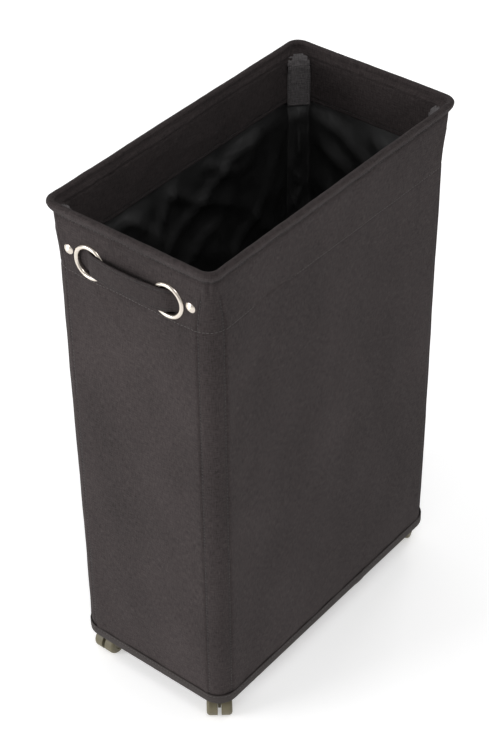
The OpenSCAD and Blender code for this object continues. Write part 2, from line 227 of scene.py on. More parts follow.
def woven(name, color, pitch, slub=0.5, uv=True, depth=0.00016):
    material, tree, shader = finish_named(name, Roughness=0.9, Sheen_Weight=0.03, Sheen_Roughness=0.5,
                                          Specular_IOR_Level=0.12)
    place = cloth_coordinates(tree, uv)
    axis = add(tree, "ShaderNodeSeparateXYZ", {0: place}).outputs
    across = axis[0] if uv else calc(tree, "ADD", axis[0], axis[1])
    along = axis[1] if uv else axis[2]
    chequer = calc(tree, "MULTIPLY", wave_of(tree, across, pitch), wave_of(tree, along, pitch))
    grain = calc(tree, "POWER", calc(tree, "ABSOLUTE", chequer), 0.6)
    up = stretched_noise(tree, place, (900, 140, 900) if uv else (900, 900, 140))
    round_ = stretched_noise(tree, place, (140, 900, 140) if uv else (140, 140, 900))
    yarn = calc(tree, "ADD", calc(tree, "SUBTRACT", up, 0.5), calc(tree, "SUBTRACT", round_, 0.5))
    cloud = stretched_noise(tree, cloth_coordinates(tree, False), (14, 14, 9), detail=4.0)
    tone = scaled(tree, yarn, slub, 0.65)
    tone = scaled(tree, chequer, 0.08, tone)
    tone = scaled(tree, cloud, 0.7, tone)
    shade(tree, shader, color, tone)
    height = scaled(tree, yarn, 1.3, grain)
    press(tree, shader, height, depth)
    return material


outer_finish = woven("outer_cloth_woven", (0.0435, 0.0352, 0.0350), 0.00055, slub=1.3)
tab_finish = woven("tab_cloth_woven", (0.125, 0.116, 0.118), 0.0005, slub=1.2)
strap_finish = woven("strap_webbing", (0.042, 0.0342, 0.0340), 0.0009, slub=1.2, depth=0.0003)
tape_under = woven("base_cloth_woven", (0.046, 0.039, 0.037), 0.0006, uv=False)
print("woven finishes ready")

# %% [markdown]
# ## Lining, binding, thread and pile
# The lining is a thin coated taffeta, nearly black, and its coating gives a soft shine on each wrinkle.
# The binding is a tape woven in ribs that run up and down its edge. Sewing thread is two plies twisted
# together. The hook and loop patches are a mat of tiny plastic hairs, which a fine rough noise imitates.

# %% Other soft finishes


def coated_lining():
    material, tree, shader = finish_named("lining_coated", Roughness=0.4, Specular_IOR_Level=1.0)
    place = cloth_coordinates(tree, True)
    axis = add(tree, "ShaderNodeSeparateXYZ", {0: place}).outputs
    threads = calc(tree, "MULTIPLY", wave_of(tree, axis[0], 0.3 * MM), wave_of(tree, axis[1], 0.3 * MM))
    crumple = stretched_noise(tree, cloth_coordinates(tree, False), (55, 55, 40), detail=5.0)
    shade(tree, shader, (0.007, 0.007, 0.0072), calc(tree, "ADD", crumple, 0.5))
    tree.links.new(scaled(tree, crumple, 0.25, 0.34), shader.inputs["Roughness"])
    height = scaled(tree, crumple, 6.0, calc(tree, "MULTIPLY", threads, 0.25))
    press(tree, shader, height, 0.0003, 0.8)
    return material


def ribbed_tape():
    material, tree, shader = finish_named("binding_ribbed", Roughness=0.85, Sheen_Weight=0.05,
                                          Specular_IOR_Level=0.3)
    place = cloth_coordinates(tree, True)
    axis = add(tree, "ShaderNodeSeparateXYZ", {0: place}).outputs
    zigzag = calc(tree, "PINGPONG", axis[1], 0.002)
    ribs = wave_of(tree, calc(tree, "ADD", axis[0], zigzag), 0.8 * MM)
    yarn = stretched_noise(tree, place, (700, 260, 700))
    tone = scaled(tree, ribs, 0.16, scaled(tree, yarn, 0.5, 0.75))
    shade(tree, shader, (0.045, 0.037, 0.035), tone)
    press(tree, shader, calc(tree, "ADD", ribs, yarn), 0.0002)
    return material


def twisted_thread(name, color):
    material, tree, shader = finish_named(name, Roughness=0.6, Sheen_Weight=0.2)
    place = cloth_coordinates(tree, False)
    twist = stretched_noise(tree, place, (1600, 1600, 1600))
    shade(tree, shader, color, scaled(tree, twist, 0.9, 0.55))
    press(tree, shader, twist, 0.0001)
    return material


def pile(name, color, fine):
    material, tree, shader = finish_named(name, Roughness=0.95, Sheen_Weight=0.5, Sheen_Roughness=0.4)
    place = cloth_coordinates(tree, False)
    hair = stretched_noise(tree, place, (fine, fine, fine), detail=6.0)
    shade(tree, shader, color, scaled(tree, hair, 1.4, 0.3))
    press(tree, shader, hair, 0.0008)
    return material


lining_finish = coated_lining()
tape_finish = ribbed_tape()
dark_thread = twisted_thread("thread_dark", (0.012, 0.010, 0.010))
pale_thread = twisted_thread("thread_grey", (0.062, 0.053, 0.052))
hook_finish = pile("hook_pile", (0.02, 0.02, 0.02), 1500)
loop_finish = pile("loop_pile", (0.028, 0.027, 0.027), 900)
print("soft finishes ready")

# %% [markdown]
# ## Metal, plastic and board
# The eyelets and rivets are pressed brass with a warm nickel plate, polished, with faint rub marks. The
# hidden metal is plain steel wire, tube and sheet. The castors are moulded in an olive grey plastic with
# a fine spark-eroded grain and some dirt. The base is hardboard with flecks of fibre.

# %% Hard finishes


def plated_metal(name, color, rough, streak):
    material, tree, shader = finish_named(name, Metallic=1.0, Specular_IOR_Level=0.5)
    place = cloth_coordinates(tree, False)
    rubs = stretched_noise(tree, place, streak, detail=4.0)
    haze = stretched_noise(tree, place, (60, 60, 60), detail=3.0)
    shade(tree, shader, color, scaled(tree, haze, 0.16, 0.92))
    tree.links.new(scaled(tree, rubs, 0.16, rough), shader.inputs["Roughness"])
    press(tree, shader, rubs, 0.00003)
    return material


def moulded_plastic(name, color, rough):
    material, tree, shader = finish_named(name, Specular_IOR_Level=0.45)
    place = cloth_coordinates(tree, False)
    grain = stretched_noise(tree, place, (2600, 2600, 2600))
    dirt = stretched_noise(tree, place, (120, 120, 180), detail=5.0)
    shade(tree, shader, color, scaled(tree, dirt, 0.5, 0.75))
    tree.links.new(scaled(tree, dirt, 0.25, rough), shader.inputs["Roughness"])
    press(tree, shader, grain, 0.00008)
    return material


def fibre_board():
    material, tree, shader = finish_named("hardboard", Roughness=0.7)
    place = cloth_coordinates(tree, False)
    fleck = stretched_noise(tree, place, (500, 500, 900), detail=6.0)
    shade(tree, shader, (0.20, 0.115, 0.055), scaled(tree, fleck, 0.9, 0.55))
    press(tree, shader, fleck, 0.0002)
    return material


nickel = plated_metal("nickel_plate", (0.66, 0.60, 0.53), 0.16, (260, 260, 900))
steel = plated_metal("plain_steel", (0.56, 0.56, 0.57), 0.3, (1500, 1500, 120))
olive = moulded_plastic("castor_olive_plastic", (0.135, 0.118, 0.070), 0.42)
black_plastic = moulded_plastic("plug_black_plastic", (0.02, 0.02, 0.02), 0.45)
board_finish = fibre_board()
print("hard finishes ready")

# %% [markdown]
# ## Dressing the fixed parts
# Every hard part from the engineering model keeps its own shape and gets one of these finishes.

# %% Finishes on the fixed parts
CORNER_NAMES = ["front_left", "front_right", "back_left", "back_right"]
HARD = {"rim_wire": steel, "rim_ferrule": steel, "post_plugs": black_plastic, "base_board": board_finish,
        "bottom_cloth": tape_under, "eyelets": nickel, "eyelet_washers": nickel, "rivets": nickel,
        "castor_plates": steel, "castor_kingpins": steel, "castor_screws": steel}
for corner in CORNER_NAMES:
    HARD["post_" + corner] = steel
    HARD["castor_hood_" + corner] = olive
    HARD["castor_wheels_" + corner] = olive
    HARD["castor_axle_" + corner] = steel
for node_name, material in HARD.items():
    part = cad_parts[node_name]
    part.data.materials.clear()
    part.data.materials.append(material)
print("dressed", len(HARD), "fixed parts")

# %% [markdown]
# ## Walking round the bag
# Nearly every soft piece follows the bag's outline, a rectangle with round corners. So one helper turns
# a distance walked along the outline into a point and an outward direction. It can also step inwards,
# and it can flatten the corner to a straight chord, because the cloth is sewn straight across in front
# of each post.

# %% Outline helper
side_w = 2 * (half_w - corner_r)
side_d = 2 * (half_d - corner_r)
arc_l = math.pi * corner_r / 2
STRETCHES = [("side", side_w), ("corner", arc_l), ("side", side_d), ("corner", arc_l)] * 2
perimeter = sum(length for kind, length in STRETCHES)
CORNER_SIGN = [(1, -1), (1, 1), (-1, 1), (-1, -1)]


def arc_point(k, degrees, inset):
    sx, sy = CORNER_SIGN[k % 4]
    a = math.radians(degrees)
    r = corner_r - inset
    return Vector((sx * (half_w - corner_r) + r * math.cos(a), sy * (half_d - corner_r) + r * math.sin(a), 0))


def where_on_outline(u):
    """The stretch that u falls on: its kind, its number from the front, and the share along it."""
    u = u % perimeter
    for i, (kind, length) in enumerate(STRETCHES):
        if u < length or i == 7:
            return kind, i // 2, min(u / length, 1.0)
        u -= length


def toward_apex(p, k, inset, sharp):
    """Moves a corner point towards the corner's sharp tip, which makes the arc's radius smaller."""
    sx, sy = CORNER_SIGN[k % 4]
    return p.lerp(Vector((sx * (half_w - inset), sy * (half_d - inset), 0)), sharp)


def outline(u, inset=0.0, flat=0.0, sharp=0.0):
    """Point and outward direction at distance u along the outline. The front side starts at u = 0."""
    kind, k, f = where_on_outline(u)
    start = -90 + 90 * k
    if kind == "side":
        a = toward_apex(arc_point(k - 1, start, inset), k - 1, inset, sharp)
        b = toward_apex(arc_point(k, start, inset), k, inset, sharp)
        angle = math.radians(start)
        return a.lerp(b, f), Vector((math.cos(angle), math.sin(angle), 0))
    angle = start + 90 * f
    on_arc = arc_point(k, angle, inset)
    on_chord = arc_point(k, start, inset).lerp(arc_point(k, start + 90, inset), f)
    n = math.radians(angle)
    return toward_apex(on_arc.lerp(on_chord, flat), k, inset, sharp), Vector((math.cos(n), math.sin(n), 0))


corner_starts = []
walked = 0.0
for kind, length in STRETCHES:
    if kind == "corner":
        corner_starts.append(walked)
    walked += length
SEAM_FROM_FACE = 18 * MM
seam_off = corner_r * math.asin((corner_r - SEAM_FROM_FACE) / corner_r)
strip_seams = [c + seam_off for c in corner_starts] + [c + arc_l - seam_off for c in corner_starts]
post_seams = [c - 1 * MM for c in corner_starts] + [c + arc_l + 1 * MM for c in corner_starts]


def outline_stations(step, seams=()):
    """Distances along the outline where the cloth gets a column of points, closer together at seams."""
    stations, u = [], 0.0
    for kind, length in STRETCHES:
        spacing = step if kind == "side" else step * 0.55
        count = round(length / spacing)
        stations += [u + length * i / count for i in range(count)]
        u += length
    for seam in seams:
        stations = [s for s in stations if abs(s - seam) > 3.4 * MM]
        stations += [seam + d * MM for d in (-2.4, -1.1, 0, 1.1, 2.4)]
    return sorted(s % perimeter for s in stations)


print("outline", round(perimeter, 3), "m, upright seams at", [round(s, 3) for s in sorted(strip_seams)])

# %% [markdown]
# ## Sweeping a ring
# A wall of the bag starts as one ring of points. The ring's edges are extruded again and again, and each
# new ring is moved to its own place, as a knitting machine adds rows. The same helper makes the strap,
# whose ring is its cross-section and whose rows follow its path. Each point gets a UV in metres, so the
# weave keeps its true scale everywhere.

# %% Ring sweep


def new_object(name, bm, material, body=None):
    mesh = bpy.data.meshes.new(name)
    bm.to_mesh(mesh)
    bm.free()
    mesh.polygons.foreach_set("use_smooth", [True] * len(mesh.polygons))
    mesh.materials.append(material)
    obj = bpy.data.objects.new(name, mesh)
    bpy.context.scene.collection.objects.link(obj)
    if body:
        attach(obj, body)
    return obj


def sweep(columns, rows, place, uv_at, join_rows=False, cap=False):
    """Rings of points joined row by row. place and uv_at take the column's and the row's number."""
    bm = bmesh.new()
    column = bm.verts.layers.int.new("column")
    line = bm.verts.layers.int.new("line")
    ring = [bm.verts.new(place(i, 0)) for i in range(columns)]
    for i, v in enumerate(ring):
        v[column] = i
    edges = [bm.edges.new((ring[i], ring[(i + 1) % columns])) for i in range(columns)]
    first = list(edges)
    for j in range(1, rows):
        made = bmesh.ops.extrude_edge_only(bm, edges=edges)["geom"]
        edges = [e for e in made if isinstance(e, bmesh.types.BMEdge)]
        fresh = [v for v in made if isinstance(v, bmesh.types.BMVert)]
        for v in fresh:
            v.co = place(v[column], j)
            v[line] = j
        edges = [e for e in edges if e.verts[0][line] == j and e.verts[1][line] == j]
    if join_rows:
        bmesh.ops.bridge_loops(bm, edges=first + edges)
    if cap:
        for rim in (first, edges):
            bmesh.ops.holes_fill(bm, edges=rim, sides=0)
            for e in rim:
                e.smooth = False
    uv = bm.loops.layers.uv.new("cloth")
    for face in bm.faces:
        cols = {l.vert[column] for l in face.loops}
        lines = {l.vert[line] for l in face.loops}
        wraps = len(cols) == 2 and max(cols) - min(cols) > 1
        turns = len(lines) == 2 and max(lines) - min(lines) > 1
        for l in face.loops:
            i, j = l.vert[column], l.vert[line]
            l[uv].uv = uv_at(columns if wraps and i == 0 else i, rows if turns and j == 0 else j)
    bmesh.ops.recalc_face_normals(bm, faces=bm.faces)
    return bm


def with_cloth_length(rows):
    """Adds to each row (inset, height, flat) the distance walked along the profile."""
    out, walked = [], 0.0
    for i, row in enumerate(rows):
        if i:
            walked += math.hypot(row[0] - rows[i - 1][0], row[1] - rows[i - 1][1])
        out.append((*row, walked))
    return out


def rows_near(inset, z, table):
    """Profile rows near a place. The table gives each row's inset and height from it in mm, and flatness."""
    return [(inset + a * MM, z + b * MM, flat) for a, b, flat in table]


def wall_uv(stations, rows):
    def uv_at(i, j):
        u = stations[i] if i < len(stations) else stations[0] + perimeter
        return (u, rows[j][3] if j < len(rows) else rows[-1][3] + 0.01)
    return uv_at


def fbm(x, y, z):
    """Three layers of smooth noise, each twice as fine as the one before."""
    return noise.fractal(Vector((x, y, z)), 1.0, 2.0, 3)


def waver(x, y, z):
    """One layer of smooth noise between -1 and 1."""
    return noise.noise(Vector((x, y, z)))


def crease(x, y, z):
    """A sharp ridge where smooth noise crosses zero, as thin cloth buckles. 1 on the ridge."""
    return math.exp(-abs(waver(x, y, z)) * 9)


def bump(distance, width):
    """A smooth bump of height 1 at distance 0."""
    return math.exp(-((distance / width) ** 2))


def fade(value, start, end):
    """0 at start, 1 at end, smooth between."""
    t = min(max((value - start) / (end - start), 0.0), 1.0)
    return t * t * (3 - 2 * t)


# %% [markdown]
# ## How the outer cloth hangs
# Sewn cloth over four posts is never flat. The walls bow a little between the posts, long shallow waves
# run through them, small pleats gather above the binding, each row of stitches pulls a narrow valley,
# and folds run away from the rivets that hold the handle. Each of these is a small term in one function
# that says how far the cloth stands in or out at a place, which keeps them easy to tune.

# %% Relief of the outer cloth
eyelet_r = (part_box("eyelets")[1][2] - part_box("eyelets")[0][2]) / 2
eyelet_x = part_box("eyelets")[1][0] - eyelet_r
z_eyelet = (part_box("eyelets")[0][2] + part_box("eyelets")[1][2]) / 2
rivet_r = (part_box("rivets")[1][2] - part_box("rivets")[0][2]) / 2
rivet_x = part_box("rivets")[1][0] - rivet_r
z_rivet = (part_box("rivets")[0][2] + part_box("rivets")[1][2]) / 2
z_hem_seam = z_rim - 9.5 * MM
z_facing_seam = z_facing + 1 * MM


def apart(u, place):
    """Distance between two places along the outline, the short way round."""
    return abs((u - place + perimeter / 2) % perimeter - perimeter / 2)


def wall_relief(u, z):
    """How far the outer cloth stands out (+) or in (-) at distance u and height z, in metres."""
    kind, k, f = where_on_outline(u)
    height = min(max((z - z_binding) / (z_hem_seam - z_binding), 0.0), 1.0)
    free = fade(z, z_binding, z_binding + 60 * MM) * fade(z, z_rim - 12 * MM, z_rim - 70 * MM)
    seam = min(apart(u, s) for s in strip_seams)
    off_seam = fade(seam, 0, 30 * MM)
    out = 0.0
    if kind == "side":
        sag = 2.4 if k % 2 else 1.0
        out -= sag * MM * math.sin(math.pi * f) * math.sin(math.pi * height)
    out += 1.7 * MM * fbm(u * 8, z * 4.2, 1.7) * free * off_seam
    out += 0.6 * MM * fbm(u * 22, z * 10, 5.2) * fade(z, z_binding - 4 * MM, z_binding + 30 * MM)
    slant = u * 0.8 + z * 0.6
    out += 0.55 * MM * fbm(slant * 30, (u * 0.6 - z * 0.8) * 7, 9.1) * off_seam
    pleat = fade(z, z_binding + 38 * MM, z_binding + 2 * MM)
    out += 1.0 * MM * pleat * waver(u * 55, z * 8, 3.0)
    under_hem = fade(z, z_hem_seam - 34 * MM, z_hem_seam - 4 * MM) * fade(z, z_rim - 6 * MM, z_hem_seam)
    out += 0.9 * MM * under_hem * waver(u * 48, z * 9, 12.0)
    stitched = fade(z, z_rim - 24 * MM, z_rim - 30 * MM)
    out -= 1.35 * MM * bump(seam, 1.25 * MM) * stitched
    out += 0.35 * MM * bump(seam - 3.5 * MM, 1.8 * MM) * stitched * (1 + waver(u, z * 90, 0))
    out -= 0.55 * MM * bump(z - z_facing_seam, 1.5 * MM)
    out += 0.5 * MM * bump(z - z_facing_seam - 5 * MM, 5 * MM) * waver(u * 110, 2.0, 0)
    out -= 0.5 * MM * bump(z - z_binding - 1 * MM, 3 * MM)
    if kind == "corner":
        out += 0.8 * MM * bump((f - 0.5) * arc_l, 6 * MM) * stitched
    gather = apart(u, corner_starts[0] + arc_l * 0.42)
    out -= 1.2 * MM * bump(gather, 2.4 * MM) * bump(z - z_hem_seam + 9 * MM, 9 * MM)
    out += 1.3 * MM * bump(gather - 6 * MM, 3.5 * MM) * bump(z - z_hem_seam + 6 * MM, 12 * MM)
    to_post = min(apart(u, c + arc_l / 2) for c in corner_starts)
    out = max(out, -0.8 * MM - 3 * MM * fade(to_post, 12 * MM, 26 * MM))
    tuck = apart(u, corner_starts[0] + arc_l + 15 * MM)
    out -= 2.2 * MM * bump(tuck - (z - z_binding) * 0.25, 1.8 * MM) * fade(z, z_binding + 26 * MM, z_binding)
    if kind == "side" and k % 2 == 0:
        x = (f - 0.5) * side_w
        for side in (-1, 1):
            near = math.hypot(x - side * rivet_x, z - z_rivet)
            out *= 1 - bump(max(near - rivet_r, 0), 4 * MM)
            out += 0.7 * MM * bump(near - rivet_r - 4 * MM, 3 * MM)
            pull = (z - z_rivet) + 1.15 * (rivet_x - x * side)
            away = fade(z_rivet - z, 6 * MM, 36 * MM) * fade(z_rivet - z, 190 * MM, 70 * MM)
            out += 0.9 * MM * bump(pull, 8 * MM) * away * (1.0 if x * side > 0 else 0.0)
            near = math.hypot(x - side * eyelet_x, z - z_eyelet)
            out *= 1 - bump(max(near - eyelet_r, 0), 6 * MM)
            out += 0.45 * MM * bump(near - eyelet_r - 5 * MM, 4 * MM)
    return out


# %% [markdown]
# ## Outer cloth, hem and facing in one piece
# The cover is cut long enough to go up the outside, over the rim wire, and down the inside as a band
# that faces the mouth. Making it in one sweep gives the rolled edge its true look, with no joint at the
# top. The profile then returns behind itself, so the wall is a closed solid with a real thickness. The
# wire's corners are tighter than the posts' corners, so the upper hand's breadth of the cloth narrows
# from one radius to the other.

# %% Profile of the outer cloth
RIM_ROUND = 12 * MM
RIM_SHARP = 1 - RIM_ROUND / (corner_r + hem_out)
WALL = 1.7 * MM
inside_in = lining_in + 1.0 * MM
POST_FLAT = 0.9


def wall_heights():
    """Heights of the rows on the outside, close together at the facing's row of stitches."""
    heights, z = [], z_bottom + 5 * MM
    while z < z_rim - 14 * MM:
        if abs(z - z_facing_seam) > 5.5 * MM:
            heights.append(z)
        z += 6 * MM if z_binding + 30 * MM < z < z_rim - 90 * MM else 4.5 * MM
    return sorted(heights + [z_facing_seam + d * MM for d in (-4, -2.5, -1.2, 0, 1.2, 2.5, 4)])


def cover_profile():
    rows = [(0.0, z, 0.2) for z in wall_heights()]
    rows += rows_near(0, z_hem_seam, [(0.1, -1.8, 0.2), (1.2, 0, 0.2), (0.2, 1.2, 0.2), (-1.0, 2.6, 0.15),
                                      (-2.2, 4.4, 0.1), (-3.2, 6.4, 0.0)])
    for degrees in range(-22, 204, 13):
        a = math.radians(degrees)
        rows.append((-hem_out - hem_r * math.cos(a), z_rim + hem_r * math.sin(a), 0.0))
    top = max(range(len(rows)), key=lambda i: rows[i][1])
    rows += rows_near(inside_in, z_hem_seam, [(-2.0, 5.5, 0.2), (-0.8, 3.1, 0.4), (-0.1, 1.4, 0.6),
                                              (-1.0, 0, 0.7), (-0.1, -1.6, 0.8)])
    z = z_hem_seam - 4.5 * MM
    while z > z_inner_edge + 7 * MM:
        rows.append((inside_in, z, POST_FLAT))
        z -= 3.6 * MM
    folded = [(0, 5.4), (0, 4.0), (-0.7, 2.8), (0, 1.4), (-0.1, -1.2), (-0.7, -2.1), (-1.6, -1.4)]
    rows += rows_near(inside_in, z_inner_edge, [(a, b, POST_FLAT) for a, b in folded])
    inside = len(rows) - 2
    rows.append((WALL, z_inner_edge - 9 * MM, 0.3))
    back = [z for z in wall_heights() if z < z_inner_edge - 16 * MM][::-2]
    rows += [(WALL, z, 0.2) for z in back]
    return with_cloth_length(rows), top, inside


cover_rows, cover_top, cover_inside = cover_profile()


def facing_relief(u, z):
    """Relief of the band inside the mouth, with the crumples above each post pocket."""
    kind, k, f = where_on_outline(u)
    low = fade(z, z_inner_edge + 26 * MM, z_inner_edge + 4 * MM)
    out = 1.3 * MM * fbm(u * 11, z * 9, 4.4) + 1.3 * MM * (crease(u * 22 + z * 26, z * 9 - u * 6, 6.4) - 0.3)
    out += 1.3 * MM * low * waver(u * 75, z * 14, 8.8)
    if kind == "corner":
        edge = 1.0
    else:
        edge = bump(min(f, 1 - f) * (side_d if k % 2 else side_w), 14 * MM) * 0.8
    gather = edge * fade(z, z_rim - 32 * MM, z_rim - 20 * MM) * fade(z, z_rim - 5 * MM, z_rim - 11 * MM)
    fold = crease(u * 70 + z * 60, z * 75 - u * 25, 2.2) - 0.3
    above_lining = fade(z, z_inner_edge + 10 * MM, z_inner_edge + 20 * MM)
    return max(out + 3.0 * MM * gather * fold, -0.3 * MM - 4 * MM * above_lining)


def sharp_at(z, inside=False):
    """How far the corner has narrowed at height z, from 0 on the posts to the wire's own radius."""
    return RIM_SHARP * fade(z, z_rim - (14 if inside else 70) * MM, z_rim - 2 * MM)


def rim_wave(u, z):
    """The rim rises and falls a little along its length."""
    return 0.66 * MM * fade(z, z_rim - 30 * MM, z_rim - 4 * MM) * waver(u * 9, 4.0, 0)


def cover_place(u, j):
    inset, z, flat, length = cover_rows[j]
    p, n = outline(u, inset, flat, sharp_at(z, inside=j > cover_top))
    if j <= cover_top:
        relief = wall_relief(u, z) * fade(z, z_rim + 2 * MM, z_rim - 11 * MM)
        relief += 0.45 * MM * fade(z, z_rim - 24 * MM, z_rim - 8 * MM) * fbm(u * 60, z * 22, 6.6)
    elif j < cover_inside:
        relief = -facing_relief(u, z) * fade(z, z_rim + 2 * MM, z_rim - 10 * MM)
        relief += 0.45 * MM * fbm(u * 60, z * 22, 6.6) * fade(z, z_rim - 8 * MM, z_rim)
    elif j < cover_inside + 3:
        relief = 0.0
    else:
        relief = wall_relief(u, z)
    return p + n * relief + Vector((0, 0, z + rim_wave(u, z)))


cover_u = outline_stations(6 * MM, strip_seams)
cover_bm = sweep(len(cover_u), len(cover_rows), lambda i, j: cover_place(cover_u[i], j),
                 wall_uv(cover_u, cover_rows), join_rows=True)
print("outer cloth:", len(cover_u), "columns,", len(cover_rows), "rows,", len(cover_bm.faces), "faces")

# %% [markdown]
# ## Holes for the eyelets
# Each eyelet's barrel clamps the edge of a round hole. The holes are cut after the sweep with a Boolean
# modifier, which is applied at once. Round cutters with many sides leave a clean edge, and the nickel
# ring covers it. The hole stops at the facing behind, so one looks into a dark pocket.

# %% Cut the eyelet holes
HOLE_R, HOLE_DEPTH = 15 * MM, 4.2 * MM
cover = new_object("outer_cloth", cover_bm, outer_finish)
cutter_bm = bmesh.new()
for end in (-1, 1):
    for side in (-1, 1):
        place = Matrix.Translation((side * eyelet_x, end * half_d, z_eyelet)) @ Matrix.Rotation(
            math.pi / 2, 4, "X")
        bmesh.ops.create_cone(cutter_bm, cap_ends=True, segments=48, radius1=HOLE_R, radius2=HOLE_R,
                              depth=2 * HOLE_DEPTH, matrix=place)
cutter = new_object("hole_cutter", cutter_bm, outer_finish)
cut = cover.modifiers.new("holes", "BOOLEAN")
cut.object = cutter
cut.solver = "EXACT"
bpy.context.view_layer.update()
pierced = bpy.data.meshes.new_from_object(cover.evaluated_get(bpy.context.evaluated_depsgraph_get()))
cover.modifiers.clear()
cover.data = pierced
bpy.data.objects.remove(cutter)
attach(cover, "bag")
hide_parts("cover_front", "cover_back", "cover_left", "cover_right",
            "cover_corner_front_left", "cover_corner_front_right",
            "cover_corner_back_left", "cover_corner_back_right", "rim_hem", "hem_allowance",
            "mouth_facing")
print("outer cloth with holes:", len(pierced.polygons), "faces")

# %% [markdown]
# ## Lining
# The lining is a bag of thin coated cloth that hangs inside, and it is a little too large for its space.
# So it buckles into sharp, slanting wrinkles, held only at the top seam, beside the posts and at the
# floor. Two families of creases cross each other, and they die out towards the seams. The sweep goes
# down the walls, round the foot, and then in to a line along the middle of the floor.

# %% Lining
LINING_FLAT = 0.86
SPINE = half_d - half_w


def lining_profile():
    rows = rows_near(lining_in, z_inner_edge, [(-0.4, 9, LINING_FLAT), (0, 1, LINING_FLAT)])
    z = z_inner_edge - 3 * MM
    while z > z_floor + 8 * MM:
        rows.append((lining_in, z, LINING_FLAT))
        z -= 6 * MM
    rows += rows_near(lining_in, z_floor, [(0.2, 5, LINING_FLAT), (1.2, 1.6, LINING_FLAT)])
    return with_cloth_length(rows)


lining_rows = lining_profile()
FLOOR_STEPS = [0.03, 0.09, 0.17, 0.26, 0.36, 0.46, 0.56, 0.67, 0.78, 0.89, 1.0]


def lining_relief(u, z):
    """How far the lining stands into the bag."""
    held = fade(z, z_inner_edge - 1 * MM, z_inner_edge - 22 * MM) * fade(z, z_floor, z_floor + 50 * MM)
    seam = min(apart(u, s) for s in post_seams)
    slack = fade(seam, 0, 26 * MM)
    first = crease(u * 13 + z * 10, z * 6 - u * 3, 1.1)
    second = crease(u * 12 - z * 14, z * 6 + u * 4, 6.3)
    fine = crease(u * 48 + z * 30, z * 34 - u * 22, 3.9)
    out = (6.5 * MM * first + 5.5 * MM * second) * held * (0.3 + 0.7 * slack)
    out += 1.2 * MM * fine * held
    top = fade(z, z_inner_edge - 60 * MM, z_inner_edge - 8 * MM)
    top *= fade(z, z_inner_edge + 1 * MM, z_inner_edge - 5 * MM)
    out += 1.3 * MM * top * abs(waver(u * 50, z * 12, 0))
    out += 1.4 * MM * (fbm(u * 9, z * 7, 2.6) + 0.5) * held
    return out - 0.8 * MM * bump(seam, 1.6 * MM)


def lining_place(u, j):
    if j < len(lining_rows):
        inset, z, flat, length = lining_rows[j]
        p, n = outline(u, inset, flat)
        return p - n * lining_relief(u, z) + Vector((0, 0, z))
    share = FLOOR_STEPS[j - len(lining_rows)]
    p, n = outline(u, lining_in + 2 * MM, LINING_FLAT)
    spine = Vector((0, min(max(p.y, -SPINE), SPINE), 0))
    q = p.lerp(spine, share)
    ripple = 1.4 * MM * crease(q.x * 16 + q.y * 8, q.y * 10, 5.0) * fade(share, 0.0, 0.2)
    return q + Vector((0, 0, z_floor + 0.9 * MM + ripple))


def lining_uv(i, j):
    u = lining_u[i] if i < len(lining_u) else lining_u[0] + perimeter
    past = j - len(lining_rows)
    extra = 0.0 if past < 0 else FLOOR_STEPS[min(past, len(FLOOR_STEPS) - 1)] * half_w
    return (u, lining_rows[min(j, len(lining_rows) - 1)][3] + extra)


lining_u = outline_stations(6.5 * MM, post_seams)
lining_bm = sweep(len(lining_u), len(lining_rows) + len(FLOOR_STEPS),
                  lambda i, j: lining_place(lining_u[i], j), lining_uv)
bmesh.ops.remove_doubles(lining_bm, verts=lining_bm.verts, dist=0.2 * MM)
bmesh.ops.dissolve_degenerate(lining_bm, edges=lining_bm.edges, dist=0.1 * MM)
bmesh.ops.recalc_face_normals(lining_bm, faces=lining_bm.faces)
print("lining:", len(lining_bm.faces), "faces")
lining = new_object("lining_cloth", lining_bm, lining_finish, "bag")
thick = lining.modifiers.new("thickness", "SOLIDIFY")
thick.thickness = 0.5 * MM
thick.offset = 0
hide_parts("lining_walls", "lining_floor", "post_channels")

# %% [markdown]
# ## Binding
# A ribbed tape is folded over the raw edge where the walls meet the bottom, and one row of stitches near
# its upper edge holds it. Where its two ends meet on the right side, one end laps over the other.

# %% Binding tape
tape_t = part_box("binding_tape")[1][0] - half_w
under = 6 * MM


def tape_profile():
    face = [(0.35, 0.2), (0.8, 0), (1, -0.8), (0.95, -1.7), (0.45, -2.4), (0.95, -3.1), (1, -5), (1.05, -7.5),
            (1, -10)]
    foot = [(0.85, 0.7), (0.5, 0.15)]
    rows = rows_near(0, z_binding, [(0.2, -0.4, 0)])
    rows += [(-share * tape_t, z_binding + up * MM, 0) for share, up in face]
    rows += [(-share * tape_t, z_bottom + up * MM, 0) for share, up in foot]
    rows += rows_near(0, z_bottom, [(0.4, -0.05, 0), (3, 0, 0)])
    rows += rows_near(under, z_bottom, [(-1.2, 0.1, 0), (0, 0.3, 0), (0, 0.9, 0), (-5.4, 1.3, 0)])
    return with_cloth_length(rows)


tape_rows = tape_profile()
lap_at = corner_starts[0] + arc_l + side_d * 0.66


def tape_place(u, j):
    inset, z, flat, length = tape_rows[j]
    p, n = outline(u, inset, flat)
    away = apart(u, lap_at)
    lap = 0.55 * MM * fade(away, 7 * MM, 6 * MM) * fade(inset, 0.1 * MM, -0.3 * MM)
    pucker = 0.16 * MM * waver(u * 160, z * 60, 1.0)
    rise = 0.5 * MM * waver(u * 12, 7.0, 0) * fade(z, z_binding - 5 * MM, z_binding)
    return p + n * (lap + pucker) + Vector((0, 0, z + rise))


tape_u = outline_stations(4 * MM, [lap_at - 6.5 * MM, lap_at + 6.5 * MM])
tape_bm = sweep(len(tape_u), len(tape_rows), lambda i, j: tape_place(tape_u[i], j),
                wall_uv(tape_u, tape_rows), join_rows=True)
tape = new_object("binding_ribbon", tape_bm, tape_finish, "bag")
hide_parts("binding_tape")
print("binding:", len(tape.data.polygons), "faces")

